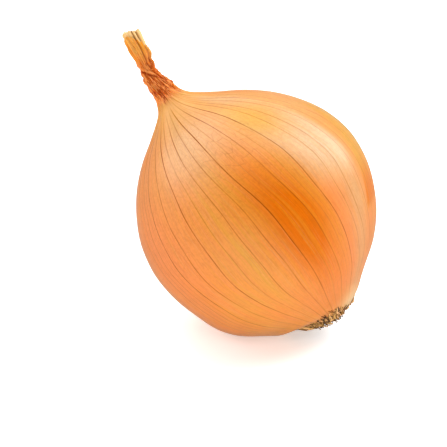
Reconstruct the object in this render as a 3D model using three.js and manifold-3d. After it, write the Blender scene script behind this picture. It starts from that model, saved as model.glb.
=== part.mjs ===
import * as THREE from 'three';
import { mergeVertices } from 'three/addons/utils/BufferGeometryUtils.js';
import Module from 'manifold-3d';

// A dry globe onion lying over on its side, in millimetres with +Z up. The bulb, its papery
// skin and its withered neck grew as one piece. The root plate with its dried roots is the
// other piece. Both are shaped upright, root end at height 0, and then laid over.
// The origin is the middle of the small flat spot that the onion rests on.

// Bulb
const bulbDiameter = 76;
const bulbLength = 90; // root edge to the foot of the neck
const leanDegrees = 38.5; // the neck leans this far from upright, towards -X
const sides = 72;
const bulbRows = 31;
const undersideFullness = 4; // the side it lies on bulges by this much
const undersideHeight = 15;
const undersideReach = 10;
const ribDepth = 0.22;
const restDepth = 0.6; // how much of the underside is pressed flat

// Neck
const neckLength = 21.7;
const neckRadius = 3.5;
const neckFlatness = 0.76; // thickness across over width
const neckFacing = 25; // degrees, the direction of the neck's width
const pinchSlant = 1.2; // the pinched place is this much lower on the side it faces
const neckRows = 15;
const creaseCount = 9;
const creaseDepth = 0.85;
const sheathThickness = 0.6; // step from the outer sheath down to the leaf inside it
const tipRecess = 1.6;
const tipSlant = 1.9; // the leaf's tip is this much lower on the side it faces

// Root end
const plateRadius = 7.4;
const plateGap = 0.3;
const plateTilt = 8; // degrees that the root end is turned, higher on the side it lies on
const plateLift = 1.6;
const rimWidth = 0.7; // thickness of the skin's edge round the root plate
const rimProud = 0.7;
const rootCount = 64;
const rootThickness = 0.66;
const rootReach = 1.7; // how far the roots come out of the plate
const tableGap = 0.35; // the lowest roots stay this far off the table

// Outline of the bulb as parts of its length and of half its diameter
const bulbOutline = [
	[0.021, 0.224], [0.055, 0.33], [0.111, 0.484], [0.178, 0.67], [0.267, 0.847],
	[0.378, 0.965], [0.5, 1], [0.611, 0.948], [0.7, 0.842], [0.778, 0.7],
	[0.844, 0.524], [0.9, 0.322], [0.95, 0.162], [1, 0.1],
];

// Outline of the neck as parts of its length and of its radius, pinched in the middle
const neckOutline = [
	[0, 1.086], [0.115, 1.03], [0.25, 0.92], [0.38, 0.72], [0.5, 0.82], [0.63, 0.94],
	[0.78, 0.99], [1, 1],
];

// Winding of the creases as height and degrees
const winding = [[58, -4], [69, -9], [78, -14], [90, -24], [100, -52], [111, -74]];

// Swells and dents of the bulb and its dry neck: direction and height of the middle, degrees
// and millimetres out to the side, and size
const swells = [
	[12, 14, 60, 8, 0.9],
	[25, 91.3, 42, 1.9, 0.6], [40, 85.5, 50, 3.2, 0.55], [300, 93.5, 38, 1.8, 0.35],
	[200, 97, 30, 1.6, 0.3], [110, 92, 45, 2.2, 0.4], [300, 89, 40, 1.6, -0.3],
	[20, 95.3, 30, 1.2, -0.25],
];

// Sideways bow of the whole onion as height and offset
const bow = [
	[0, -2.1], [8, -1.4], [20, -0.5], [45, 0], [60, -0.3], [75, -0.9], [87, -1.3], [95, -1.5],
	[100, -1.1], [104, 0.1], [112, 1.8],
];

const radians = THREE.MathUtils.degToRad;
const smooth = THREE.MathUtils.smoothstep;
const neckFoot = bulbLength;
const neckTip = bulbLength + neckLength;

const curveThrough = (points) =>
	new THREE.SplineCurve(points.map(([a, b]) => new THREE.Vector2(a, b)));

// A smooth function through points of place and value
function smoothThrough(points) {
	const samples = curveThrough(points).getPoints(20 * points.length);
	return (place) => {
		let i = 0;
		while (i < samples.length - 2 && samples[i + 1].x < place) i++;
		const a = samples[i], b = samples[i + 1];
		return THREE.MathUtils.lerp(a.y, b.y, (place - a.x) / (b.x - a.x));
	};
}

const bowAt = smoothThrough(bow);
const neckCurveAt = smoothThrough(
	neckOutline.map(([h, r]) => [neckFoot + h * neckLength, r * neckRadius]),
);

// A number from 0 to 1 that looks random but is always the same for the same input
function chance(n) {
	const s = Math.sin(n * 12.9898) * 43758.5453;
	return s - Math.floor(s);
}

const windingAt = smoothThrough(winding);

// Creases of the dry neck, narrow grooves that run out over the shoulder
function creaseAt(angle, height) {
	const depth = creaseDepth * smooth(height, 78, 91);
	const turn = radians(windingAt(height));
	let sum = 0;
	for (let i = 0; i < creaseCount; i++) {
		const middle = (i + 0.55 * chance(i + 3)) * 2 * Math.PI / creaseCount;
		const width = 0.1 + 0.09 * chance(i + 20);
		const away = Math.sin((angle - turn - middle) / 2) * 2;
		sum += (0.35 + 0.65 * chance(i + 40)) * Math.exp(-((away / width) ** 2));
	}
	return depth * sum;
}

function swellAt(angle, height) {
	let sum = 0;
	for (const [degrees, middle, wide, tall, size] of swells) {
		const away = Math.sin((angle - radians(degrees)) / 2) * 2 / radians(wide);
		sum += size * Math.exp(-(away ** 2) - ((height - middle) / tall) ** 2);
	}
	return sum;
}

// Shallow ribs of the skin, strongest near the shoulder
function ribAt(angle, height) {
	const ends = 0.5 + Math.abs(height - 45) / 45;
	const wave = Math.cos(7 * angle + 0.6) + 0.7 * Math.cos(11 * angle + 2) + 0.5 * Math.cos(17 * angle + 4);
	return ribDepth * ends * wave * smooth(height, 8, 30) * (1 - smooth(height, 80, 92));
}

// A point of the skin from its angle, its height and the plain radius there
function skinPoint(angle, height, radius) {
	const under = ((1 - Math.cos(angle)) / 2) ** 3;
	const fullness = undersideFullness * under *
		Math.exp(-(((height - undersideHeight) / undersideReach) ** 2));
	const flat = smooth(height, 84, 94);
	const across = Math.sin(angle - radians(neckFacing));
	const oval = Math.sqrt(1 - across ** 2 * (1 - neckFlatness ** 2) * flat);
	const r = radius * oval + fullness + ribAt(angle, height) * (1 - under) +
		swellAt(angle, height) - creaseAt(angle, height);
	return new THREE.Vector3(r * Math.cos(angle) + bowAt(height), r * Math.sin(angle), height);
}

// Ragged line round the skin's edge, between -1 and 1
const ragged = (angle) => Math.sin(13 * angle + 1) * 0.6 + Math.sin(23 * angle + 2.5) * 0.4;

// Height of the torn edge of the outer sheath, low on one side
const tearAt = (angle) => neckTip - 4.9 + 3.6 * Math.cos(angle - radians(235)) + 0.25 * ragged(angle);

// Height of the leaf's tip, cut slanting
const tipAt = (angle) => neckTip + 0.3 * ragged(angle + 2) -
	tipSlant * ((1 + Math.cos(angle - radians(neckFacing))) / 2) ** 2;

// Plain radius of the neck, its pinched place slanting
function neckRadiusAt(angle, height) {
	const share = THREE.MathUtils.clamp((height - neckFoot) / neckLength, 0, 1);
	const slant = pinchSlant * Math.cos(angle - radians(neckFacing)) * Math.sin(Math.PI * share);
	return neckCurveAt(height + slant);
}

// A ring of points round the onion
const ring = (point) =>
	Array.from({ length: sides }, (_, i) => point((i + 0.5) * 2 * Math.PI / sides));

const plainRing = (radius, height) => ring((a) =>
	new THREE.Vector3(radius * Math.cos(a) + bowAt(0), radius * Math.sin(a), height));

// The root end's own small turn
function turnRootEnd(p) {
	const share = 1 - smooth(p.z, 3, 8);
	return p.setZ(p.z + share * (plateLift - Math.tan(radians(plateTilt)) * (p.x - bowAt(0))));
}

// Closed surface through rings stacked from the foot to the tip
function closedSurface(foot, rings, tip) {
	const points = [foot, ...rings.flat(), tip].map(turnRootEnd);
	const index = [];
	const at = (row, i) => 1 + row * sides + (i % sides);
	for (let i = 0; i < sides; i++) {
		index.push(0, at(0, i + 1), at(0, i));
		index.push(points.length - 1, at(rings.length - 1, i), at(rings.length - 1, i + 1));
		for (let row = 0; row < rings.length - 1; row++) {
			const a = at(row, i), b = at(row, i + 1), c = at(row + 1, i + 1), d = at(row + 1, i);
			index.push(a, b, c, a, c, d);
		}
	}
	const geometry = new THREE.BufferGeometry().setFromPoints(points);
	geometry.setIndex(index);
	return geometry;
}

// Bulb, skin and neck

const bulbCurve = curveThrough(bulbOutline.map(([h, r]) => [h * bulbLength, r * bulbDiameter / 2]));
const dishFloor = 3.4;
const dishRadius = plateRadius + plateGap + 0.1;
const skinEdge = bulbOutline[0][0] * bulbLength;

const bulbRings = [
	plainRing(4.5, dishFloor),
	plainRing(dishRadius, dishFloor),
	ring((a) => new THREE.Vector3(dishRadius * Math.cos(a) + bowAt(0), dishRadius * Math.sin(a),
		skinEdge - rimProud + 0.2 + 0.25 * ragged(a))),
	ring((a) => {
		const r = dishRadius + rimWidth * (0.8 + 0.2 * ragged(a + 1));
		return new THREE.Vector3(r * Math.cos(a) + bowAt(0), r * Math.sin(a),
			skinEdge - rimProud + 0.1 + 0.25 * ragged(a));
	}),
];
for (const { x: height, y: radius } of bulbCurve.getPoints(bulbRows)) {
	bulbRings.push(ring((a) => skinPoint(a, height, radius)));
}

// The neck's outer sheath, its rows slanting more and more towards the torn edge
for (let row = 1; row <= neckRows; row++) {
	const share = row / neckRows;
	bulbRings.push(ring((a) => {
		const height = neckFoot + (tearAt(a) - neckFoot) * share;
		return skinPoint(a, height, neckRadiusAt(a, height));
	}));
}

// The leaf inside it, from the torn edge to the tip, and the recess between its folds
const leafRing = (share, inset, drop) => ring((a) => {
	const height = THREE.MathUtils.lerp(tearAt(a), tipAt(a), share);
	const p = skinPoint(a, height, neckRadiusAt(a, height) - inset);
	return p.setZ(p.z - drop);
});
bulbRings.push(leafRing(0.02, sheathThickness, 0));
bulbRings.push(leafRing(0.34, sheathThickness, 0), leafRing(0.67, sheathThickness, 0));
bulbRings.push(leafRing(1, sheathThickness, 0));
bulbRings.push(leafRing(1, sheathThickness + 0.65, 0.1), leafRing(1, sheathThickness + 1, tipRecess));

const bulb = closedSurface(
	new THREE.Vector3(bowAt(0), 0, dishFloor),
	bulbRings,
	new THREE.Vector3(bowAt(neckTip), 0, neckTip - tipRecess - 0.375 * tipSlant),
);

// Laying the onion over: lean it, then bring the lowest point just under the table's height

const lean = new THREE.Matrix4().makeRotationY(-radians(leanDegrees));
bulb.applyMatrix4(lean);
bulb.computeBoundingBox();
const restAcross = -26.4; // middle of the flat spot before it becomes the origin
const toOrigin = new THREE.Matrix4().makeTranslation(-restAcross, 0, -bulb.boundingBox.min.z - restDepth);
bulb.applyMatrix4(toOrigin);
const layOver = toOrigin.clone().multiply(lean);

// What would be under the table is pressed flat
const bulbPositions = bulb.attributes.position;
for (let i = 0; i < bulbPositions.count; i++) {
	if (bulbPositions.getZ(i) < 0) bulbPositions.setZ(i, 0);
}

// Root plate with its dried roots

const wasm = await Module();
wasm.setup();

function toSolid(geometry) {
	const plain = geometry.clone();
	plain.deleteAttribute('normal');
	plain.deleteAttribute('uv');
	const merged = mergeVertices(plain, 1e-5);
	return new wasm.Manifold(new wasm.Mesh({
		numProp: 3,
		vertProperties: new Float32Array(merged.attributes.position.array),
		triVerts: new Uint32Array(merged.index.array),
	}));
}

function toGeometry(solid) {
	const mesh = solid.getMesh();
	const geometry = new THREE.BufferGeometry();
	geometry.setAttribute('position', new THREE.BufferAttribute(new Float32Array(mesh.vertProperties), 3));
	geometry.setIndex(new THREE.BufferAttribute(new Uint32Array(mesh.triVerts), 1));
	return geometry;
}

const plateEdge = skinEdge + 0.1;
const plate = closedSurface(
	new THREE.Vector3(bowAt(0), 0, plateEdge - 1.2),
	[
		plainRing(3.2, plateEdge - 1.05), plainRing(5.6, plateEdge - 0.6),
		plainRing(plateRadius, plateEdge), plainRing(plateRadius, dishFloor - plateGap - 0.3),
		plainRing(plateRadius - 0.4, dishFloor - plateGap),
	],
	new THREE.Vector3(bowAt(0), 0, dishFloor - plateGap),
);

const half = rootThickness / 2;
const rootSection = new THREE.Shape([
	new THREE.Vector2(-half, -half), new THREE.Vector2(half, -half),
	new THREE.Vector2(half, half), new THREE.Vector2(-half, half),
]);

// Keeps a point of a root clear of the skin's edge and of the table, after laying it over
function clearOfSkinAndTable(upright) {
	const p = upright.clone();
	const out = Math.hypot(p.x - bowAt(0), p.y);
	const most = p.z > 0.35 ? plateRadius - 0.75 : plateRadius + 1.6;
	if (out > most) {
		p.x = bowAt(0) + (p.x - bowAt(0)) * most / out;
		p.y *= most / out;
	}
	turnRootEnd(p).applyMatrix4(layOver);
	p.z = Math.max(p.z, tableGap + rootThickness * 0.75);
	return p;
}

// One root: it leaves the plate, leans outwards and curls
function rootPath(i) {
	const round = i * 2.39996 + chance(i) * 0.5;
	const out = (plateRadius - 1.05) * Math.sqrt(0.12 + 0.88 * (i + 0.5) / rootCount);
	const outward = new THREE.Vector3(Math.cos(round), Math.sin(round), 0);
	const at = outward.clone().multiplyScalar(out).add(new THREE.Vector3(bowAt(0), 0, plateEdge + 0.2));
	const heading = new THREE.Vector3(0, 0, -1).addScaledVector(outward, 0.5 * (out / plateRadius) ** 2);
	const curlAxis = new THREE.Vector3(chance(i + 7) - 0.5, chance(i + 11) - 0.5, 0.6 * (chance(i + 13) - 0.5));
	const curl = 0.35 + 0.55 * chance(i + 17);
	const step = (rootReach * (0.65 + 0.6 * chance(i + 19)) + 1.2) / 3;
	heading.normalize();
	curlAxis.normalize();
	const points = [turnRootEnd(at.clone()).applyMatrix4(layOver)];
	for (let k = 0; k < 3; k++) {
		at.addScaledVector(heading, step);
		points.push(clearOfSkinAndTable(at));
		if (k > 0) heading.applyAxisAngle(curlAxis, curl);
	}
	return new THREE.CatmullRomCurve3(points);
}

let tuft = toSolid(plate.applyMatrix4(layOver));
for (let i = 0; i < rootCount; i++) {
	const root = new THREE.ExtrudeGeometry(rootSection, {
		steps: 3, bevelEnabled: false, extrudePath: rootPath(i),
	});
	tuft = tuft.add(toSolid(root));
}

// The finished onion

function piece(name, geometry, color, roughness) {
	const material = new THREE.MeshStandardMaterial({ color, roughness, metalness: 0 });
	const mesh = new THREE.Mesh(geometry, material);
	mesh.name = name;
	return mesh;
}

const onion = new THREE.Group();
onion.name = 'onion';
onion.add(
	piece('bulb', bulb, 0xe08a35, 0.45),
	piece('root_tuft', toGeometry(tuft), 0x5b4326, 0.9),
);

export default onion;
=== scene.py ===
from functools import partial
import math
import bpy
import numpy as np
from mathutils import Matrix, Vector


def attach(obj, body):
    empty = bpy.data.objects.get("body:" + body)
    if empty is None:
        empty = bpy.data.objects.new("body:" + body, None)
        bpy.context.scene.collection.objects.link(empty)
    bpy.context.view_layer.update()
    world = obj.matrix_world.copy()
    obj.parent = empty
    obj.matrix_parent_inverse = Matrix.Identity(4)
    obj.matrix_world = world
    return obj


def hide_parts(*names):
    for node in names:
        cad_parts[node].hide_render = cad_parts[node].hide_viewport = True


# A dry yellow globe onion lying over on its side, on a pale table in soft studio light.
# Everything is shaped upright in millimetres, root end at height 0, then laid over.

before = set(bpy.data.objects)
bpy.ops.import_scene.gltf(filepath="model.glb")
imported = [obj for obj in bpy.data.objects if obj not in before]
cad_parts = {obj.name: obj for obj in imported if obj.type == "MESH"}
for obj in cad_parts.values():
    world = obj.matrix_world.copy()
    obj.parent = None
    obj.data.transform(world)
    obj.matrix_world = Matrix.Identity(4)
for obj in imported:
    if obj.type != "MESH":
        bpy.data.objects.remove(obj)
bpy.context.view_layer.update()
print("frame loaded, nodes", sorted(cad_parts))

# Size and form of the onion, in millimetres and degrees
onion = {
    "bulbRadius": 38,
    "bulbLength": 90,
    "neckLength": 21.7,
    "neckRadius": 3.5,
    "neckFlatness": 0.76,
    "neckFacing": 25,
    "pinchHeight": 98.5,
    "pinchSlant": 1.2,
    "creases": 9,
    "creaseDepth": 0.85,
    "pleats": 37,
    "pleatDepth": 0.32,
    "tearDrop": 4.9,  # middle of the torn edge under the tip of the neck
    "tearSlant": 3.6,
    "tearFacing": 235,
    "tipSlant": 1.9,
    "lean": 38.5,
    "undersideFullness": 4,
    "undersideHeight": 15,
    "undersideReach": 10,
    "ribDepth": 0.22,
    "plateRadius": 7.4,
    "plateTilt": 8,
    "plateLift": 1.6,
    "dishFloor": 3.4,
    "skinEdge": 1.89,
}
toPart = (26.4, 0, 5.946)  # from the onion's own place to the part's origin

# outlines: share of the length of the bulb or neck, share of its radius
bulbOutline = [
    (0.021, 0.224), (0.055, 0.33), (0.111, 0.484), (0.178, 0.67), (0.267, 0.847),
    (0.378, 0.965), (0.5, 1), (0.611, 0.948), (0.7, 0.842), (0.778, 0.7),
    (0.844, 0.524), (0.9, 0.322), (0.95, 0.162), (1, 0.1),
]
neckOutline = [
    (0, 1.086), (0.115, 1.03), (0.25, 0.92), (0.38, 0.72), (0.5, 0.82), (0.63, 0.94),
    (0.78, 0.99), (1, 1),
]
# swells and dents: direction, height, degrees and millimetres to the side, size
swells = [
    (12, 14, 60, 8, 0.9),
    (25, 91.3, 42, 1.9, 0.6), (40, 85.5, 50, 3.2, 0.55), (300, 93.5, 38, 1.8, 0.35),
    (200, 97, 30, 1.6, 0.3), (110, 92, 45, 2.2, 0.4), (300, 89, 40, 1.6, -0.3),
    (20, 95.3, 30, 1.2, -0.25),
]
ribWaves = [(1, 7, 0.6), (0.7, 11, 2), (0.5, 17, 4)]  # strength, count round the onion, place
# sideways bow of the middle line: height and offset
bow = [
    (0, -2.1), (8, -1.4), (20, -0.5), (45, 0), (60, -0.3), (75, -0.9), (87, -1.3), (95, -1.5),
    (100, -1.1), (104, 0.1), (112, 1.8),
]
# turn of the veins and creases, which wind one way from the root to the tip: height, degrees
winding = [
    (0, 7), (13, 4), (24, 2), (46, 0), (55, -1.2), (63, -2.7), (70, -4.5), (75, -6.5),
    (79, -9.6), (82, -13), (85, -17.5), (90, -25), (100, -52), (111, -74),
]
# the loose strand that runs slanting over the pinched place: degrees round the neck, height
strandPath = np.array([(200, 102), (250, 99.2), (290, 97.8), (318, 96.4), (345, 92.6)])
neckFoot = onion["bulbLength"]
neckTip = onion["bulbLength"] + onion["neckLength"]


def smooth(value, low, high):
    # 0 below low, 1 above high, an S curve between them
    t = np.clip((value - low) / (high - low), 0, 1)
    return t * t * (3 - 2 * t)


def chance(n):
    # a number from 0 to 1 that looks random but is always the same for the same input
    s = np.sin(np.asarray(n, float) * 12.9898) * 43758.5453
    return s - np.floor(s)


def curveThrough(points):
    # uniform Catmull-Rom curve through the points, 20 steps to each of them
    p = np.array(points, float)
    ends = np.vstack([p[:1], p, p[-1:]])
    t = np.linspace(0, len(p) - 1, 20 * len(p) + 1)
    i = np.minimum(t.astype(int), len(p) - 2)
    w = (t - i)[:, None]
    a, b, c, d = ends[i], ends[i + 1], ends[i + 2], ends[i + 3]
    u, v = (c - a) / 2, (d - b) / 2
    return (2 * b - 2 * c + u + v) * w ** 3 + (3 * c - 3 * b - 2 * u - v) * w ** 2 + u * w + b


bowCurve = curveThrough(bow)
windingCurve = curveThrough(winding)
bulbCurve = curveThrough([(h * neckFoot, r * onion["bulbRadius"]) for h, r in bulbOutline])
neckCurve = curveThrough(
    [(neckFoot + h * onion["neckLength"], r * onion["neckRadius"]) for h, r in neckOutline])


def bowAt(height):
    # how far to the side the middle line is, read off its curve at the height
    return np.interp(height, bowCurve[:, 0], bowCurve[:, 1])


def twistAt(height):
    # turn of the veins and creases in radians, read off its curve at the height
    return np.radians(np.interp(height, windingCurve[:, 0], windingCurve[:, 1]))


def bulbRadiusAt(height):
    # plain radius of the bulb, read off its outline at the height
    return np.interp(height, bulbCurve[:, 0], bulbCurve[:, 1])


def neckRadiusAt(angle, height):
    # plain radius of the neck, with the pinched place lower on the side that the neck faces
    share = np.clip((height - neckFoot) / onion["neckLength"], 0, 1)
    facing = np.cos(angle - math.radians(onion["neckFacing"]))
    slant = onion["pinchSlant"] * facing * np.sin(math.pi * share)
    return np.interp(height + slant, neckCurve[:, 0], neckCurve[:, 1])


def waves(a, b, seed, count=6, low=1, high=4):
    # soft unevenness between about -1 and 1: crossed sine waves of seeded length and place.
    # a is an angle, so its wave counts are whole numbers
    total = np.zeros(np.broadcast(a, b).shape)
    for k in range(count):
        along = np.round(low + (high - low) * chance(seed + k))
        across = (0.4 + chance(seed + k + 31)) * (1 if k % 2 else -1)
        total += np.sin(along * a + across * b + 6.283 * chance(seed + k + 57))
    return total / math.sqrt(count)


def groove(angle, height, count, depth, narrow, seed):
    # narrow dents round the onion that follow the twist: each is a bell of its own width and
    # depth about its own angle, and the result is their sum
    total = 0
    for i in range(count):
        middle = (i + 0.55 * chance(i + seed)) * 2 * math.pi / count
        width = narrow * (1 + 0.9 * chance(i + seed + 17))
        away = 2 * np.sin((angle - twistAt(height) - middle) / 2)
        total = total + (0.35 + 0.65 * chance(i + seed + 37)) * np.exp(-(away / width) ** 2)
    return depth * total


def creasesAt(angle, height):
    # the neck's main creases and the finer pleats between them, both fading on the shoulder
    main = groove(angle, height, onion["creases"], onion["creaseDepth"], 0.1, 3)
    fine = groove(angle, height, onion["pleats"], onion["pleatDepth"], 0.05, 90)
    return main * smooth(height, 78, 91), fine * smooth(height, 83, 90)


def strandAt(angle, height):
    # distance along the neck from the loose strand, and how much of it is left at that angle
    degrees = np.degrees(angle) % 360
    middle = np.interp(degrees, strandPath[:, 0], strandPath[:, 1])
    return height - middle, smooth(degrees, 200, 225) * (1 - smooth(degrees, 330, 350))


def neckWrinkles(angle, height):
    # sideways folds of the pinched place, small unevenness all over the dry neck, and the strand
    pinch = np.exp(-((height - onion["pinchHeight"] - 0.8 * np.sin(angle + 2)) / 3) ** 2)
    folds = np.sin(2.3 * height + 1.7 * waves(angle, height * 0.3, 5, low=1, high=3))
    uneven = waves(angle, height * 1.1, 11, low=3, high=9) * smooth(height, 86, 94)
    fine = waves(angle, height * 2.2, 61, low=8, high=17)
    fine *= smooth(height, 87, 91) * (1 - smooth(height, 99, 104))
    away, share = strandAt(angle, height)
    strand = share * np.exp(-(away / 0.55) ** 2)
    return 0.26 * pinch * folds + 0.14 * uneven + 0.13 * fine + 0.42 * strand


def bell(angle, height, degrees, middle, wide, tall):
    # 1 at a place on the skin, falling to 0 over some degrees round it and millimetres along it
    away = 2 * np.sin((angle - math.radians(degrees)) / 2) / math.radians(wide)
    return np.exp(-away ** 2 - ((height - middle) / tall) ** 2)


def swellsAt(angle, height):
    # the swells and dents: each a bell at its own place times its size, all added up
    return sum(size * bell(angle, height, *place) for *place, size in swells)


def ribsAt(angle, height):
    # crossed cosines round the onion, deeper towards both ends of the bulb and gone past them
    ends = 0.5 + np.abs(height - neckFoot / 2) / (neckFoot / 2)
    wave = sum(strength * np.cos(count * angle + place) for strength, count, place in ribWaves)
    return onion["ribDepth"] * ends * wave * smooth(height, 8, 30) * (1 - smooth(height, 80, 92))


def skinPoint(angle, height, radius):
    # round the bowed middle line: the plain radius made oval in the neck, plus the underside's
    # fullness, the ribs, the swells and the wrinkles, less the creases
    under = ((1 - np.cos(angle)) / 2) ** 3
    fullness = onion["undersideFullness"] * under * np.exp(
        -((height - onion["undersideHeight"]) / onion["undersideReach"]) ** 2)
    across = np.sin(angle - math.radians(onion["neckFacing"]))
    flat = (1 - onion["neckFlatness"] ** 2) * smooth(height, 84, 94)
    main, fine = creasesAt(angle, height)
    r = (radius * np.sqrt(1 - across ** 2 * flat) + fullness + ribsAt(angle, height) * (1 - under)
         + swellsAt(angle, height) - main - fine + neckWrinkles(angle, height))
    return np.stack([r * np.cos(angle) + bowAt(height), r * np.sin(angle), height + 0 * r], -1)


def plainRing(angle, radius, height):
    # a plain circle round the foot of the middle line, for the root end
    return np.stack([radius * np.cos(angle) + bowAt(0), radius * np.sin(angle),
                     height + 0 * angle], -1)


def layOver(points):
    # the root end's own small turn, the lean of the whole onion, and the flat under it
    x, y, z = np.moveaxis(np.asarray(points, float), -1, 0)
    share = 1 - smooth(z, 3, 8)
    z = z + share * (onion["plateLift"] - math.tan(math.radians(onion["plateTilt"])) * (x - bowAt(0)))
    c, s = math.cos(math.radians(onion["lean"])), math.sin(math.radians(onion["lean"]))
    laid = np.stack([x * c - z * s + toPart[0], y + toPart[1], x * s + z * c + toPart[2]], -1)
    laid[..., 2] = np.maximum(laid[..., 2], 0)
    return laid / 1000


def linear(code):
    # an sRGB hex colour as the linear values that shaders work in
    values = [int(code[i:i + 2], 16) / 255 for i in (1, 3, 5)]
    return [v / 12.92 if v < 0.0405 else ((v + 0.055) / 1.055) ** 2.4 for v in values] + [1]


def ringMesh(name, rings, foot, tip, uv=None, attributes=None):
    # closed surface through rings of points stacked from the foot to the tip, with the
    # given values at its points, and a place map whose seam is closed
    rows, cols = rings.shape[:2]
    points = np.concatenate([[foot], rings.reshape(-1, 3), [tip]])
    at = 1 + np.arange(rows * cols).reshape(rows, cols)
    right = np.roll(at, -1, 1)
    quads = np.stack([at[:-1], right[:-1], right[1:], at[1:]], -1).reshape(-1, 4)
    first = np.stack([np.zeros(cols, int), right[0], at[0]], -1)
    last = np.stack([np.full(cols, len(points) - 1), at[-1], right[-1]], -1)
    mesh = bpy.data.meshes.new(name)
    mesh.from_pydata(layOver(points).tolist(), [], quads.tolist() + first.tolist() + last.tolist())
    mesh.polygons.foreach_set("use_smooth", np.ones(len(mesh.polygons), bool))
    if uv is not None:
        corners = np.concatenate([
            np.stack([uv[:-1, :-1], uv[:-1, 1:], uv[1:, 1:], uv[1:, :-1]], 2).reshape(-1, 2),
            np.stack([uv[0, :-1], uv[0, 1:], uv[0, :-1]], 1).reshape(-1, 2),
            np.stack([uv[-1, :-1], uv[-1, :-1], uv[-1, 1:]], 1).reshape(-1, 2),
        ])
        mesh.uv_layers.new(name="veinMap").data.foreach_set("uv", corners.ravel())
    for key, values in (attributes or {}).items():
        layer = mesh.attributes.new(key, "FLOAT", "POINT")
        flat = np.concatenate([[values[0, 0]], values.ravel(), [values[-1, 0]]])
        layer.data.foreach_set("value", flat)
    mesh.validate()
    piece = bpy.data.objects.new(name, mesh)
    bpy.context.collection.objects.link(piece)
    return piece


# the setting that is a node's mode
modes = {
    "Attribute": "attribute_name", "MapRange": "interpolation_type", "Math": "operation",
    "Mix": "data_type", "TexVoronoi": "feature", "TexWhiteNoise": "noise_dimensions",
    "UVMap": "uv_map",
}


def addNode(tree, kind, mode=None, *values):
    # a node in its mode, with values for its open sockets in order, or for those that a
    # dictionary names: a number, a colour code, or a node or an output to link to
    node = tree.nodes.new("ShaderNode" + kind)
    if mode:
        setattr(node, modes[kind], mode)
    if values and isinstance(values[0], dict):
        pairs = [(node.inputs[name], value) for name, value in values[0].items()]
    else:
        pairs = zip([socket for socket in node.inputs if socket.enabled], values)
    for socket, value in pairs:
        if isinstance(value, bpy.types.Node):
            value = [output for output in value.outputs if output.enabled][0]
        if isinstance(value, bpy.types.NodeSocket):
            tree.links.new(value, socket)
        else:
            socket.default_value = linear(value) if isinstance(value, str) else value
    return node


def newMaterial(name):
    # an empty material, and the function that adds a node to it
    material = bpy.data.materials.new(name)
    material.use_nodes = True
    material.node_tree.nodes.clear()
    return material, partial(addNode, material.node_tree)


def shareOf(add, *factors):
    # factors multiplied: each is a value, or a tuple of a value and the S curve that it takes,
    # between a low and a high one and, unless it goes from 0 to 1, with its start and its end
    values = [add("MapRange", "SMOOTHSTEP", *factor) if isinstance(factor, tuple) else factor
              for factor in factors]
    total = values[0]
    for value in values[1:]:
        total = add("Math", "MULTIPLY", total, value)
    return total


def paint(add, color, layers):
    # colours laid over each other: each layer has its colour and the factors of its share
    for tint, *factors in layers:
        color = add("Mix", "RGBA", shareOf(add, *factors), color, tint)
    return color


# Papery skin of the bulb

skin = {
    "yellow": "#c9922c",
    "orange": "#d8861e",
    "deep": "#cc6200",
    "salmon": "#dd7e3c",
    "peach": "#c99c68",
    "vein": "#874006",
    "neckBrown": "#943404",
    "neckRed": "#da5c0c",
    "neckPeach": "#ec9a52",
    "neckTan": "#f08e24",
    "neckFoot": "#cc9242",
    "neckGold": "#f09c22",
    "neckPale": "#eeb258",
    "edgeOlive": "#c88e40",
    "edgePale": "#ddb884",
    "edgeBrown": "#5c3008",
    "roughness": 0.36,
    "shine": 0.4,
    "veinWidth": 0.15,  # millimetres from the middle of a vein to its side
    "cloudsPerMetre": 38,  # one every 26 mm
    "grainsPerMetre": 1100,  # one every 0.9 mm, coarser than real ones so that they show
    "dishInner": 4.5,
    "columns": 360,
    "bulbRows": 150,
    "neckRows": 84,
}

# the veins: angle half way up and strength, unevenly spaced as on the real one
veins = [
    (0, 0.45), (12, 0.6), (21, 0.3), (33, 0.8), (44, 0.5), (52, 0.3), (65, 0.7), (76, 0.5),
    (88, 0.8), (97, 0.3), (109, 0.6), (121, 0.5), (130, 0.8), (143, 0.4), (152, 0.6), (164, 0.8),
    (176, 0.5), (187, 0.6), (196, 0.4), (207, 0.7), (218, 0.5), (229, 0.6), (237, 0.6), (244, 1.0),
    (254, 0.65), (263.8, 0.85), (271, 0.4), (279.6, 0.6), (288.2, 0.55), (296.8, 0.95), (304, 0.25),
    (311.3, 0.62), (317.5, 0.2), (323.2, 0.8), (333, 0.45), (339, 0.5), (347, 0.45), (353, 0.45),
]
veinAngles = [degrees for degrees, strength in veins]
veinStrengths = np.array([strength for degrees, strength in veins])

# soft patches: amount, direction, height, degrees and millimetres to the side
goldenPlace = (330, 68.5, 15, 9)
patches = {
    "netShare": [(1, 300, 70, 26, 14), (0.4, 200, 60, 60, 25), (0.4, 40, 60, 60, 25)],
    "deepPatch": [(1.3, 307, 35, 13, 17), (0.42, 297, 52, 12, 11), (0.7, 120, 40, 22, 20)],
    "yellowPatch": [(0.9, *goldenPlace), (0.6, 60, 60, 30, 22)],
    # painted highlights: peach where the soft boxes and the white table are mirrored in the satin
    # skin
    "peachPatch": [
        (0.8, 284, 75, 36, 13), (0.8, 338, 78, 12, 6), (0.3, 322, 60, 9, 10),
        (0.5, 340, 50, 11, 17), (0.5, 0, 66, 20, 12), (0.7, 150, 66, 40, 16),
        (0.6, 339, 18, 8, 12), (0.5, 343, 33, 8, 8),
    ],
    "salmonPatch": [
        (1, 235, 50, 36, 30), (0.8, 310, 12, 50, 12), (0.4, 331, 36, 12, 15),
        (0.35, 268, 65, 11, 11),
    ],
    "olivePatch": [(1, 338, 4, 21, 3.8), (0.6, 170, 3, 60, 3)],
}
# patches between two veins: amount, the angles of the veins, bottom and top
veinFields = {
    "yellowPatch": (0.4, 323, 334, 60, 78),
    # painted highlight between two veins, with sharp sides
    "peachPatch": (0.6, 323, 350, 42, 64),
    "salmonPatch": (0.5, 323, 350, 16, 42),
}


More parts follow.
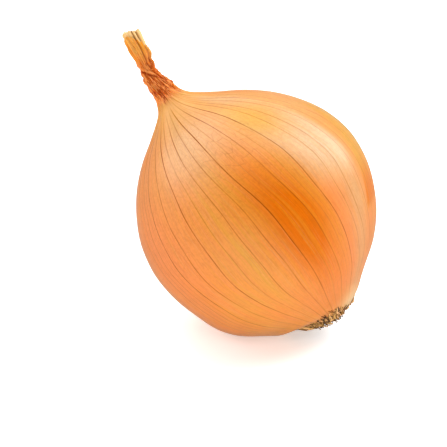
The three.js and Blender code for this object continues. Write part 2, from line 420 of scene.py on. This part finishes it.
def veinPlace(angle, height):
    # which vein a place is at, counted round the onion: whole numbers are on a vein
    wander = (np.radians(1.1) * np.sin(0.11 * height + 5 * angle)
              + np.radians(0.35) * np.sin(0.27 * height + 9 * angle + 2))
    turned = np.degrees(angle - twistAt(height) + wander)
    turns = np.floor(turned / 360)
    stops = np.append(veinAngles, 360)
    inTurn = np.interp(turned - 360 * turns, stops, np.arange(len(stops)))
    return inTurn + turns * len(veinAngles)


def ragged(angle):
    # coarse unevenness of a torn edge: two crossed sine waves round the onion
    return np.sin(13 * angle + 1) * 0.6 + np.sin(23 * angle + 2.5) * 0.4


def tearAt(angle):
    # height of the torn edge of the outer sheath: a slanting cut made uneven
    slant = onion["tearSlant"] * np.cos(angle - math.radians(onion["tearFacing"]))
    return (neckTip - onion["tearDrop"] + slant + 0.25 * ragged(angle)
            + 0.22 * waves(angle, 0, 71, low=17, high=45))


def tipAt(angle):
    # height of the leaf's tip: cut slanting on the side that the neck faces, and uneven
    facing = (1 + np.cos(angle - math.radians(onion["neckFacing"]))) / 2
    return (neckTip - onion["tipSlant"] * facing ** 2 + 0.3 * ragged(angle + 2)
            + 0.25 * waves(angle, 0, 33, low=9, high=38))


def skinRings(angle):
    # rings of points from the dish round the roots, over the skin's edge and up the bulb and the
    # neck to the torn edge, then down inside it
    dish = onion["plateRadius"] + 0.4
    uneven = 0.25 * ragged(angle) + 0.45 * waves(angle, 0, 21, low=11, high=60)
    edge = onion["skinEdge"] - 0.35 + uneven
    rings = [
        plainRing(angle, skin["dishInner"], onion["dishFloor"]),
        plainRing(angle, dish, onion["dishFloor"]),
        plainRing(angle, dish + 0.1, edge),
        plainRing(angle, dish + 0.35 + 0.1 * ragged(angle + 1), edge - 0.1),
    ]
    # bulb, rows close together where it curves most
    share = np.linspace(0, 1, skin["bulbRows"])
    stops = [onion["skinEdge"] + 0.1, 8, 74, neckFoot]
    for height in np.interp(share, [0, 0.12, 0.72, 1], stops):
        rings.append(skinPoint(angle, np.full(len(angle), height), bulbRadiusAt(height)))
    # neck, its rows slanting more and more towards the torn edge
    tear = tearAt(angle)
    for share in np.linspace(0, 1, skin["neckRows"] + 1)[1:]:
        height = neckFoot + (tear - neckFoot) * share
        rings.append(skinPoint(angle, height, neckRadiusAt(angle, height)))
    # the torn edge is thin, and the sheath goes on inside as a lining
    for inset, drop in ((0.12, -0.05), (0.3, 0.1), (0.45, 2.5), (1.2, 4.5)):
        height = tear - drop
        rings.append(skinPoint(angle, height, neckRadiusAt(angle, height) - inset))
    return np.stack(rings)


def skinValues(angle, heights, vein):
    # what the skin's colours follow at each point: its patches, among them painted highlights and
    # painted shade, creases, the strand and its painted shadow, and veins
    turned = np.degrees(angle - twistAt(heights))
    values = {}
    for name, rows in patches.items():
        values[name] = sum(amount * bell(angle, heights, *place) for amount, *place in rows)
    for name, (amount, first, last, bottom, top) in veinFields.items():
        # its sides are sharp and its ends soft
        away = np.abs((turned - (first + last) / 2 + 180) % 360 - 180) - (last - first) / 2
        ends = smooth(heights, bottom - 6, bottom + 6) * (1 - smooth(heights, top - 6, top + 6))
        values[name] = values[name] + amount * ends * (1 - smooth(away, -1.2, 1.2))
    # a band of darker gold with a sharp slanting edge, on the side right of the camera: its edge is
    # the painted edge of the highlight, which stops there, and the gold past it is partly the skin's
    # own and partly painted shade
    pastEdge = (turned - 346.5 - 0.55 * (heights - 26) + 180) % 360 - 180
    highlightEdgeBand = smooth(pastEdge, -0.8, 0.8) * (1 - smooth(pastEdge, 16, 26))
    highlightEdgeBand *= smooth(heights, 24.5, 27.5) * (1 - smooth(heights, 58, 70))
    golden = bell(angle, heights, *goldenPlace)
    values["deepPatch"] += 0.8 * highlightEdgeBand * (1 - smooth(heights, 29, 42))
    values["yellowPatch"] += 0.75 * highlightEdgeBand
    # the painted highlight is taken off the golden place and off the band past its edge
    values["peachPatch"] *= (1 - 0.8 * golden) * (1 - 0.9 * highlightEdgeBand)
    matt = 0.85 * np.minimum(values["deepPatch"], 1)
    values["shine"] = skin["shine"] * (1 - 0.55 * golden) * (1 - matt)
    main, fine = creasesAt(angle, heights)
    values["crease"] = main / onion["creaseDepth"]
    values["pleat"] = fine / onion["pleatDepth"]
    away, share = strandAt(angle, heights)
    values["strand"] = share * np.exp(-(away / 0.42) ** 2)
    # painted shadow: a dark line just below the loose strand
    values["strandShade"] = share * np.exp(-((away + 1.15) / 0.45) ** 2)
    # the veins end under the knot, those of the upper side in it
    veinsEnd = 80 + 9 * ((1 + np.cos(angle - math.radians(350))) / 2) ** 3
    strengths = veinStrengths[np.round(vein).astype(int) % len(veins)]
    strengths = strengths * (1 + 0.5 * smooth(heights, 66, 80))
    values["veinStrength"] = strengths * (1 - smooth(heights - veinsEnd, 0, 4))
    values["heightMm"] = heights
    return values


def buildSkin():
    # the rings as one surface, its map the number of the vein and the centimetres along it
    cols = skin["columns"]
    angle = np.arange(cols + 1) * 2 * math.pi / cols
    rings = skinRings(angle)
    heights = rings[..., 2]
    vein = veinPlace(angle, heights)
    values = skinValues(angle, heights, vein)
    radius = np.hypot(rings[..., 0] - bowAt(heights), rings[..., 1])
    perColumn = np.maximum(np.gradient(vein, axis=1), 1e-3)
    values["veinGap"] = radius * (2 * math.pi / cols) / perColumn
    lengths = np.cumsum(np.linalg.norm(np.diff(rings, axis=0), axis=-1), 0)
    along = np.concatenate([[np.zeros(cols + 1)], lengths])
    return ringMesh("onion_skin", rings[:, :-1], (bowAt(0), 0, onion["dishFloor"]),
                    rings[-1, :-1].mean(0), np.stack([vein, along / 10], -1),
                    {name: value[:, :-1] for name, value in values.items()})


def skinMaterial():
    # thin dry onion skin: satin, streaked along its veins, brown where it dried in the neck, with
    # painted highlights on it and painted shade in the neck's creases
    material, add = newMaterial("onion_skin")
    place = add("SeparateXYZ", None, add("UVMap", "veinMap"))
    around, along = place.outputs[0], place.outputs[1]
    objectPlace = add("TexCoord").outputs["Object"]
    at = {name: add("Attribute", name).outputs["Fac"] for name in (
        "heightMm", "veinGap", "veinStrength", "netShare", "crease", "pleat", "strand",
        "strandShade", "deepPatch", "yellowPatch", "peachPatch", "salmonPatch", "olivePatch",
        "shine")}
    height = at["heightMm"]

    def stretched(acrossScale, alongScale, detail, distortion=0.0, shift=0.0):
        # noise drawn out along the veins: lengths are shares of a vein's gap and centimetres
        x = add("Math", "MULTIPLY", around, acrossScale)
        y = add("Math", "MULTIPLY_ADD", along, alongScale, shift)
        return add("TexNoise", None, {
            "Vector": add("CombineXYZ", None, x, y), "Scale": 1.0, "Detail": detail,
            "Roughness": 0.6, "Distortion": distortion})

    def nearMiddle(pattern, width, narrow):
        # thin lines where a pattern passes its middle value
        away = add("Math", "ABSOLUTE", add("Math", "SUBTRACT", pattern, 0.5))
        return shareOf(add, (away, width, narrow))

    def crossing(slant, shift):
        # thin lines of a drawn-out noise that slant over the veins
        x = add("Math", "MULTIPLY_ADD", along, slant, add("Math", "MULTIPLY", around, 0.42))
        y = add("Math", "MULTIPLY_ADD", along, 1.3, shift)
        joined = add("CombineXYZ", None, x, y)
        noise = add("TexNoise", None, {"Vector": joined, "Scale": 1.0, "Detail": 2.0})
        return nearMiddle(noise, 0.045, 0.01)

    def veinNumber(offset):
        # the place counted in veins plus an offset, and the whole number nearest to that
        shifted = add("Math", "ADD", around, offset)
        return shifted, add("Math", "ROUND", shifted)

    def veinLine(offset, width):
        # a line at every whole number, from the distance to its middle in millimetres
        shifted, nearest = veinNumber(offset)
        away = add("Math", "ABSOLUTE", add("Math", "SUBTRACT", shifted, nearest))
        away = add("Math", "MULTIPLY", away, at["veinGap"])
        return shareOf(add, (away, width * 0.35, width * 1.6, 1.0, 0.0))

    streaks = stretched(10, 0.35, 5)
    bands = stretched(3.1, 0.12, 3, shift=5)
    fade = stretched(1.3, 0.9, 2, shift=9)
    cloud = add("TexNoise", None, {
        "Vector": objectPlace, "Scale": skin["cloudsPerMetre"], "Detail": 3.0, "Roughness": 0.5})
    color = paint(add, skin["orange"], [
        (skin["yellow"], (cloud, 0.35, 0.68)),
        (skin["salmon"], (bands, 0.35, 0.6, 0.0, 0.55)),
        (skin["salmon"], at["salmonPatch"]),
        (skin["yellow"], at["yellowPatch"]),
        # painted highlight, laid on as peach
        (skin["peach"], at["peachPatch"]),
        (skin["deep"], at["deepPatch"]),
        (skin["yellow"], (bands, 0.58, 0.64, 0.0, 0.2)),
        (skin["orange"], (streaks, 0.5, 0.62, 0.0, 0.22)),
        (skin["peach"], (streaks, 0.46, 0.36, 0.0, 0.14)),
    ])

    # veins by their own strengths, and weaker ones half way between them by chance, all of them
    # fading in places and towards the root end
    main = shareOf(add, veinLine(0.0, skin["veinWidth"]), at["veinStrength"])
    number = add("Math", "WRAP", veinNumber(0.5)[1], len(veins), 0.0)
    halfChance = add("TexWhiteNoise", "1D", add("Math", "ADD", number, 7.7))
    half = shareOf(add, veinLine(0.5, skin["veinWidth"] * 0.8), (halfChance, 0.3, 1.0, 0.0, 0.45))
    lines = shareOf(add, add("Math", "MAXIMUM", main, half), (fade, 0.3, 0.6, 0.6, 1.0),
                    (height, 6, 34, 0.55, 1.0))
    # fine mottling of the paper, most of it on the upper half, and thin threads along it; the
    # mottling is the paper's, and its larger share on the upper half is also painted shade that dims
    # the brightly lit top
    grain = add("TexNoise", None, {
        "Vector": objectPlace, "Scale": skin["grainsPerMetre"], "Detail": 4.0, "Roughness": 0.6})
    # faint net of wrinkles between the veins, cells a few millimetres tall
    x = add("Math", "MULTIPLY_ADD", around, 1.7, add("Math", "MULTIPLY", fade, 0.8))
    joined = add("CombineXYZ", None, x, add("Math", "MULTIPLY", along, 1.9))
    cells = add("TexVoronoi", "DISTANCE_TO_EDGE", {"Vector": joined, "Scale": 1.0})
    cells.voronoi_dimensions = "2D"
    net = shareOf(add, (cells, 0.0, 0.06, 1.0, 0.0),
                  add("Math", "MULTIPLY_ADD", at["netShare"], 0.2, 0.03))
    color = paint(add, color, [
        (skin["vein"], lines, 0.95),
        # mottling, stronger on the upper half as painted shade
        (skin["vein"], (grain, 0.38, 0.62, 0.0, 0.13), (height, 30, 65, 0.5, 1.0)),
        (skin["vein"], nearMiddle(stretched(5.5, 0.6, 2, shift=41), 0.05, 0.01), 0.13),
        (skin["vein"], net),
    ])

    # dry neck: a golden sheath at its top, and under the pinch a knot of red-brown fibres with
    # paler strands crossing over them
    fibres = stretched(0.9, 2.2, 4, distortion=0.9, shift=3)
    strands = stretched(1.4, 0.9, 3, distortion=0.5, shift=17)
    lightStrands = add("Math", "MAXIMUM", crossing(2.1, 3), crossing(-1.2, 11))
    ragHeight = add("Math", "ADD", height, add("Math", "MULTIPLY_ADD", fibres, 4.0, -2.0))
    sheath = paint(add, skin["neckGold"], [
        (skin["neckPale"], (strands, 0.4, 0.56)),
        (skin["neckRed"], (fibres, 0.54, 0.64, 0.0, 0.6)),
    ])
    knot = paint(add, skin["neckRed"], [
        (skin["neckTan"], (strands, 0.46, 0.58)),
        (skin["neckBrown"], (fibres, 0.48, 0.58, 0.0, 0.85)),
        (sheath, (ragHeight, 99, 105)),
    ])
    upper = shareOf(add, (height, 97, 103, 1.0, 0.45))
    inKnot = shareOf(add, (ragHeight, 86.5, 89), (height, 100, 105, 0.7, 0.2))
    color = paint(add, color, [
        (skin["neckFoot"], (height, 76, 86, 0.0, 0.6)),
        (knot, (ragHeight, 86.5, 89.5)),
        # painted shade: the neck's pleats and creases darkened brown
        (skin["neckBrown"], (at["pleat"], 0.25, 0.8), (ragHeight, 84, 90, 0.0, 0.7), upper),
        (skin["neckBrown"], (at["crease"], 0.2, 0.8), (height, 84, 90, 0.0, 0.8), upper),
        (skin["neckBrown"], crossing(0.8, 23), inKnot),
        (skin["neckPeach"], lightStrands, inKnot),
        # painted shadow of the loose strand, in neck brown
        (skin["neckBrown"], at["strandShade"]),
        (skin["neckPeach"], at["strand"], 0.7),
    ])
    # root end: the skin dries olive at its edge and cracks there, dark in the cracks
    cracks = stretched(2.6, 3.5, 3, distortion=0.6, shift=29)
    color = paint(add, color, [
        (skin["edgeOlive"], (height, 5.2, 2.2, 0.0, 0.6)),
        (skin["edgePale"], at["olivePatch"], 0.8),
        (skin["edgeBrown"], (cracks, 0.53, 0.6), (height, 5.0, 3.2),
         (at["olivePatch"], 0.2, 0.8, 1.0, 0.3)),
    ])

    neck = shareOf(add, (height, 82, 92))
    rough = (streaks, 0.3, 0.7, skin["roughness"] - 0.06, skin["roughness"] + 0.08)
    neckPattern = add("Math", "ADD", strands, add("Math", "MULTIPLY_ADD", lightStrands, 0.7, fibres))
    relief = add("Math", "MULTIPLY", neckPattern, add("Math", "MULTIPLY", neck, 3.0))
    for pattern, depth in ((streaks, 0.5), (lines, 0.6), (net, 0.8), (grain, 0.3)):
        relief = add("Math", "MULTIPLY_ADD", pattern, depth, relief)
    shader = add("BsdfPrincipled", None, {
        "Base Color": color,
        "Roughness": add("Math", "MULTIPLY_ADD", neck, 0.2, shareOf(add, rough)),
        "IOR": 1.5,
        "Specular IOR Level": shareOf(add, at["shine"], add("Math", "MULTIPLY_ADD", lines, -0.7, 1.0),
                                      add("Math", "MULTIPLY_ADD", neck, -0.6, 1.0)),
        "Sheen Weight": add("Math", "MULTIPLY_ADD", neck, -0.1, 0.12),
        "Sheen Roughness": 0.3,
        "Subsurface Weight": 0.12,
        "Subsurface Radius": (1.0, 0.4, 0.15),
        "Subsurface Scale": 0.002,
        "Normal": add("Bump", None, {"Strength": 0.5, "Distance": 0.0001, "Height": relief}),
    })
    add("OutputMaterial", None, shader)
    return material


onionSkin = buildSkin()
onionSkin.data.materials.append(skinMaterial())
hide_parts("bulb")
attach(onionSkin, "root")
print("skin built, triangles", sum(len(p.vertices) - 2 for p in onionSkin.data.polygons))


# Paper leaf inside the neck's sheath

leaf = {
    "pale": "#f0d096",
    "tan": "#dba75c",
    "brown": "#9a6228",
    "length": 12,  # from its foot, hidden in the sheath, to its tip
    "columns": 180,
    "rows": 40,
}


def buildLeaf():
    # rings of points a little inside the neck's own, up to the slanting tip and over its edge
    cols = leaf["columns"]
    angle = np.arange(cols + 1) * 2 * math.pi / cols
    tip = tipAt(angle)
    foot = neckTip - leaf["length"]
    rings = []
    for share in np.linspace(0, 1, leaf["rows"]):
        height = foot + (tip - foot) * share
        inset = 0.5 + 0.25 * (1 - share)
        rings.append(skinPoint(angle, height, neckRadiusAt(angle, height) - inset))
    for inset, drop in ((0.68, -0.03), (0.85, 0.15), (1.05, 1.6)):
        rings.append(skinPoint(angle, tip, neckRadiusAt(angle, tip) - inset) - [0, 0, drop])
    rings = np.stack(rings)
    heights = rings[..., 2]
    main, fine = creasesAt(angle, heights)
    # how deep its creases are, for the painted shade in them
    crease = main / onion["creaseDepth"] + 0.4 * fine / onion["pleatDepth"]
    return ringMesh("neck_leaf", rings[:, :-1], rings[0, :-1].mean(0), rings[-1, :-1].mean(0),
                    np.stack([veinPlace(angle, heights), heights / 10], -1),
                    {"crease": crease[:, :-1]})


def leafMaterial():
    # dry paper leaf of the neck: straw with darker fibres along it, and painted shade in brown along
    # its creases
    material, add = newMaterial("dry_neck_leaf")
    place = add("SeparateXYZ", None, add("UVMap", "veinMap"))
    joined = add("CombineXYZ", None, add("Math", "MULTIPLY", place.outputs[0], 9.0),
                 add("Math", "MULTIPLY", place.outputs[1], 1.2))
    fibres = add("TexNoise", None, {
        "Vector": joined, "Scale": 1.0, "Detail": 5.0, "Roughness": 0.65})
    color = paint(add, leaf["pale"], [
        (leaf["tan"], (fibres, 0.35, 0.65)),
        # painted shade in the creases
        (leaf["brown"], (add("Attribute", "crease").outputs["Fac"], 0.3, 1.0, 0.0, 0.8)),
    ])
    bump = add("Bump", None, {"Strength": 0.6, "Distance": 0.00015, "Height": fibres})
    shader = add("BsdfPrincipled", None, {"Base Color": color, "Roughness": 0.7, "Normal": bump})
    add("OutputMaterial", None, shader)
    return material


neckLeaf = buildLeaf()
neckLeaf.data.materials.append(leafMaterial())
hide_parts("bulb")
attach(neckLeaf, "root")
print("neck leaf built")


# Root plate and its dried roots

roots = {
    "count": 300,
    "foldedCount": 240,
    "tufts": 19,
    "foldedReach": 5.4,
    "drift": 40,  # folded roots end up to half of this in degrees to either side
    "bareAt": 347,  # where round the onion the skin's edge has no roots over it
    "bareWidth": 30,
    "thickness": 0.42,
    "reach": 1.15,
    "sides": 5,
    "steps": 9,
    "dark": "#4a2c0e",
    "brown": "#946628",
    "straw": "#d8aa60",
    "peach": "#eab478",
    "domeHeight": 1.7,
    "plateTop": 3.1,
    "plateColumns": 120,
    "grainsPerMetre": 900,  # one every 1.1 mm along and across the roots
    "corkPerMetre": 700,  # one every 1.4 mm
    "tableGap": 0.35,
}
plateEdge = onion["skinEdge"] + 0.1


def buildPlate():
    # a dome of rings, its height falling with the fourth power of the radius and made uneven,
    # then its side and its flat top in the dish
    cols = roots["plateColumns"]
    angle = np.arange(cols + 1) * 2 * math.pi / cols
    wide, high = onion["plateRadius"], roots["domeHeight"]
    rings = []
    for radius in np.linspace(0.6, 1, 14) * wide:
        uneven = 0.18 * waves(angle, radius * 1.3, 41, count=8, low=3, high=16)
        height = plateEdge - high * (1 - (radius / wide) ** 4) + uneven
        rings.append(plainRing(angle, radius, height))
    rings.append(plainRing(angle, wide, plateEdge + 0.8))
    rings.append(plainRing(angle, wide - 0.4, roots["plateTop"]))
    return ringMesh("root_plate", np.stack(rings)[:, :-1], (bowAt(0), 0, plateEdge - high),
                    (bowAt(0), 0, roots["plateTop"]))


def bareShare(around):
    # 1 where the skin's edge shows without roots, 0 elsewhere
    return float(bell(around, 0, roots["bareAt"], 0, roots["bareWidth"], 1))


def hangingRoot(i):
    # middle line of one root: it leaves the dome of the plate, leans outwards and curls by a
    # steady turn about its own axis
    steps = roots["steps"]
    around = i * 2.39996 + chance(i) * 0.5  # the golden angle spreads the roots evenly
    share = math.sqrt(0.05 + 0.95 * (i + 0.5) / roots["count"])
    bare = bareShare(around) * share ** 2
    out = (onion["plateRadius"] - 0.4) * share * (1 - 0.14 * bare)
    outward = Vector((math.cos(around), math.sin(around), 0))
    height = plateEdge + 0.2 - roots["domeHeight"] * (1 - share ** 4)
    place = outward * out + Vector((float(bowAt(0)), 0, height))
    heading = (Vector((0, 0, -1)) + outward * (0.7 * share ** 2 - bare)).normalized()
    curlAxis = Vector((chance(i + 7) - 0.5, chance(i + 11) - 0.5, 0.8 * (chance(i + 13) - 0.5)))
    curl = (1.6 + 3.4 * chance(i + 17)) / steps
    turn = Matrix.Rotation(curl, 3, curlAxis.normalized())
    length = roots["reach"] * (0.6 + 0.8 * chance(i + 19)) + 0.7
    path = []
    for k in range(steps + 1):
        path.append(list(place))
        place += heading * length / steps
        if k > 1:
            heading = turn @ heading
    path = np.array(path)
    # inside the dish it stays clear of the skin's edge
    away = np.hypot(path[:, 0] - bowAt(0), path[:, 1])
    most = np.where(path[:, 2] > 0.9, onion["plateRadius"] - 0.25, onion["plateRadius"] + 1.0)
    pull = np.minimum(1, most / np.maximum(away, 1e-6))
    path[:, 0] = bowAt(0) + (path[:, 0] - bowAt(0)) * pull
    path[:, 1] *= pull
    return path


def foldedRoot(i):
    # middle line of a root that came out between plate and skin, bent over the skin's edge and
    # dried flat on the skin, wandering sideways as it goes; none where the edge is bare
    tuft = math.floor(chance(i + 301) * roots["tufts"])
    inTuft = 0.5 * chance(tuft + 401) + 0.9 * (chance(i + 307) - 0.5)
    around = 2 * math.pi * (tuft + inTuft) / roots["tufts"]
    if bareShare(around) > 0.5:
        return None
    drift = math.radians(roots["drift"]) * float(chance(i + 313) - 0.5)
    climb = (0.3 + 0.7 * chance(i + 311)) * (0.5 + 0.5 * chance(tuft + 411))
    climb *= roots["foldedReach"] * (1 - 0.9 * bareShare(around + drift))
    wiggle = np.radians(9) * (chance(i + 317) - 0.5)
    share = np.linspace(0, 1, roots["steps"])
    angle = around + drift * share + wiggle * np.sin(5 * share)
    height = onion["skinEdge"] + climb * np.clip((share - 0.3) / 0.7, 0, 1)
    outside = skinPoint(angle, height, bulbRadiusAt(height))
    inside = plainRing(angle, onion["plateRadius"] - 0.3, onion["skinEdge"] - 0.1)
    over = smooth(share, 0, 0.3)[:, None]
    path = inside * (1 - over) + outside * over
    # it stands off the skin most where it bends over the edge
    lift = 0.12 + 0.55 * np.exp(-((share - 0.25) / 0.16) ** 2)
    lift += 0.25 * chance(i + 331) * np.sin(3.1 * share)
    outwards = np.stack([0.75 * np.cos(angle), 0.75 * np.sin(angle), -0.66 + 0 * angle], -1)
    return path + lift[:, None] * outwards


def buildRoots():
    # every root is a tapered tube round its middle line
    sides = roots["sides"]
    points, faces, shades = [], [], []
    lines = [hangingRoot(i) for i in range(roots["count"])]
    lines += [line for line in map(foldedRoot, range(roots["foldedCount"])) if line is not None]
    for i, line in enumerate(lines):
        path = layOver(line) * 1000
        count = len(path)
        thickness = roots["thickness"] * (0.6 + 0.7 * chance(i + 23)) * np.linspace(1.1, 0.5, count)
        path[:, 2] = np.maximum(path[:, 2], roots["tableGap"] + thickness)
        ahead = np.gradient(path, axis=0)
        ahead /= np.maximum(np.linalg.norm(ahead, axis=1, keepdims=True), 1e-6)
        side = np.cross(ahead, [0.31, 0.82, 0.48])  # across a fixed slanting direction
        side /= np.linalg.norm(side, axis=1, keepdims=True)
        up = np.cross(ahead, side)
        turn = np.arange(sides) * 2 * math.pi / sides
        ring = side[:, None] * np.cos(turn)[:, None] + up[:, None] * np.sin(turn)[:, None]
        start = len(points)
        points += (path[:, None] + thickness[:, None, None] / 2 * ring).reshape(-1, 3).tolist()
        for k in range(count - 1):
            for j in range(sides):
                a, b = start + k * sides + j, start + k * sides + (j + 1) % sides
                faces.append((a, b, b + sides, a + sides))
        faces.append(tuple(start + j for j in reversed(range(sides))))
        faces.append(tuple(start + (count - 1) * sides + j for j in range(sides)))
        # the folded roots have more of the pale shades
        shade = chance(i + 29) if i < roots["count"] else 0.02 + 1.2 * chance(i + 29)
        shades += [float(shade)] * (count * sides)
    mesh = bpy.data.meshes.new("dried_roots")
    mesh.from_pydata((np.array(points) / 1000).tolist(), [], faces)
    mesh.polygons.foreach_set("use_smooth", np.ones(len(mesh.polygons), bool))
    mesh.attributes.new("shade", "FLOAT", "POINT").data.foreach_set("value", shades)
    piece = bpy.data.objects.new("dried_roots", mesh)
    bpy.context.collection.objects.link(piece)
    return piece


def rootMaterial():
    # dead root fibre: some strands nearly black, some brown, a few straw
    material, add = newMaterial("dried_root")
    shade = add("Attribute", "shade").outputs["Fac"]
    grain = add("TexNoise", None, {
        "Vector": add("TexCoord").outputs["Object"], "Scale": roots["grainsPerMetre"],
        "Detail": 3.0})
    color = paint(add, roots["dark"], [
        (roots["brown"], (shade, 0.25, 0.6)),
        (roots["straw"], (shade, 0.6, 0.75)),
        (roots["peach"], (shade, 0.85, 1.05)),
        (roots["dark"], (grain, 0.45, 0.75, 0.0, 0.5)),
    ])
    shader = add("BsdfPrincipled", None, {"Base Color": color, "Roughness": 0.85})
    add("OutputMaterial", None, shader)
    return material


def plateMaterial():
    # corky root plate between the roots: dull, dark brown and brown in small spots
    material, add = newMaterial("root_plate")
    grain = add("TexNoise", None, {
        "Vector": add("TexCoord").outputs["Object"], "Scale": roots["corkPerMetre"],
        "Detail": 5.0})
    color = paint(add, roots["dark"], [(roots["brown"], (grain, 0.35, 0.65))])
    bump = add("Bump", None, {"Strength": 0.8, "Distance": 0.0003, "Height": grain})
    shader = add("BsdfPrincipled", None, {"Base Color": color, "Roughness": 0.9, "Normal": bump})
    add("OutputMaterial", None, shader)
    return material


rootPlate = buildPlate()
rootPlate.data.materials.append(plateMaterial())
driedRoots = buildRoots()
driedRoots.data.materials.append(rootMaterial())
for piece in (rootPlate, driedRoots):
    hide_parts("root_tuft")
    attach(piece, "root")
print("root end built")


# Table, light and camera

studio = {
    "table": "#f4f4f4",
    "tableGlow": 0.4,
    "tableSize": 6,
    "sky": 0.2,
    "lightsAt": (0, 0, 0.04),
}
# soft boxes: azimuth from the camera's side, positive to its right, and elevation in degrees,
# distance and size in metres, power in watts, and whether the onion mirrors them
softboxes = {
    "side_softbox": (110, 40, 0.8, (0.36, 0.66), 5.6, True),
    "top_softbox": (-170, 72, 1.1, (1.2, 1.2), 13.2, True),
    "left_softbox": (-100, 38, 1.1, (0.7, 0.9), 6.8, True),
    "front_fill": (5, 25, 1.4, (1.2, 1.0), 10.4, False),
}
# the photo's view, in degrees, millimetres and pixels of its frame
view = {
    "azimuth": 17,
    "elevation": 20,
    "lens": 110,
    "sensor": 36,
    "frameWidth": 447,
    "pixelsPerMillimetre": 3.191,
    "aimHeight": 48.9,  # the point this far up the onion's axis is seen at the pixel below
    "aimPixel": (246.5, 195.5),
}


def buildTable():
    # one flat square that gives a little light of its own and isn't mirrored in the onion
    half = studio["tableSize"] / 2
    corners = [(-half, -half, 0), (half, -half, 0), (half, half, 0), (-half, half, 0)]
    mesh = bpy.data.meshes.new("table")
    mesh.from_pydata(corners, [], [(0, 1, 2, 3)])
    table = bpy.data.objects.new("table", mesh)
    bpy.context.collection.objects.link(table)
    material, add = newMaterial("white_table")
    shader = add("BsdfPrincipled", None, {
        "Base Color": studio["table"], "Roughness": 0.8, "Emission Color": (1, 1, 1, 1),
        "Emission Strength": studio["tableGlow"]})
    add("OutputMaterial", None, shader)
    mesh.materials.append(material)
    table.visible_glossy = False
    return table


def addLight(name, azimuth, elevation, distance, size, power, mirrored):
    # a soft box at a distance from the onion in a direction, facing it
    lamp = bpy.data.lights.new(name, "AREA")
    lamp.shape = "RECTANGLE"
    lamp.size, lamp.size_y = size
    lamp.energy = power
    around = math.radians(azimuth + view["azimuth"] - 90)
    lift = math.radians(elevation)
    away = Vector((math.cos(around) * math.cos(lift), math.sin(around) * math.cos(lift),
                   math.sin(lift)))
    light = bpy.data.objects.new(name, lamp)
    light.location = Vector(studio["lightsAt"]) + away * distance
    light.rotation_euler = away.to_track_quat("Z", "Y").to_euler()
    light.visible_glossy = mirrored
    bpy.context.collection.objects.link(light)
    return light


def addCamera():
    # it looks down from its elevation and azimuth, as far back as the scale of the photo asks,
    # and moved across its view until the aim point is seen at its pixel
    around, lift = math.radians(view["azimuth"]), math.radians(view["elevation"])
    ahead = Vector((-math.sin(around) * math.cos(lift), math.cos(around) * math.cos(lift),
                    -math.sin(lift)))
    right = Vector((math.cos(around), math.sin(around), 0))
    up = right.cross(ahead)
    lean = math.radians(onion["lean"])
    aim = Vector((-math.sin(lean), 0, math.cos(lean))) * view["aimHeight"] + Vector(toPart)
    distance = view["lens"] / view["sensor"] * view["frameWidth"] / view["pixelsPerMillimetre"]
    middle = view["frameWidth"] / 2
    rightwards = (view["aimPixel"][0] - middle) / view["pixelsPerMillimetre"]
    upwards = (middle - view["aimPixel"][1]) / view["pixelsPerMillimetre"]
    place = aim - right * rightwards - up * upwards - ahead * distance
    lens = bpy.data.cameras.new("camera")
    lens.lens, lens.sensor_width = view["lens"], view["sensor"]
    lens.clip_start, lens.clip_end = 0.01, 20
    camera = bpy.data.objects.new("camera", lens)
    turn = Matrix((right, up, -ahead)).transposed()
    camera.matrix_world = Matrix.Translation(place / 1000) @ turn.to_4x4()
    bpy.context.collection.objects.link(camera)
    bpy.context.scene.camera = camera
    return camera


buildTable()
for name, settings in softboxes.items():
    addLight(name, *settings)
addCamera()
world = bpy.data.worlds.new("studio")
world.use_nodes = True
world.node_tree.nodes["Background"].inputs[0].default_value = (1, 1, 1, 1)
world.node_tree.nodes["Background"].inputs[1].default_value = studio["sky"]
bpy.context.scene.world = world
bpy.context.scene.view_settings.view_transform = "Standard"
print("stage, light and camera set")
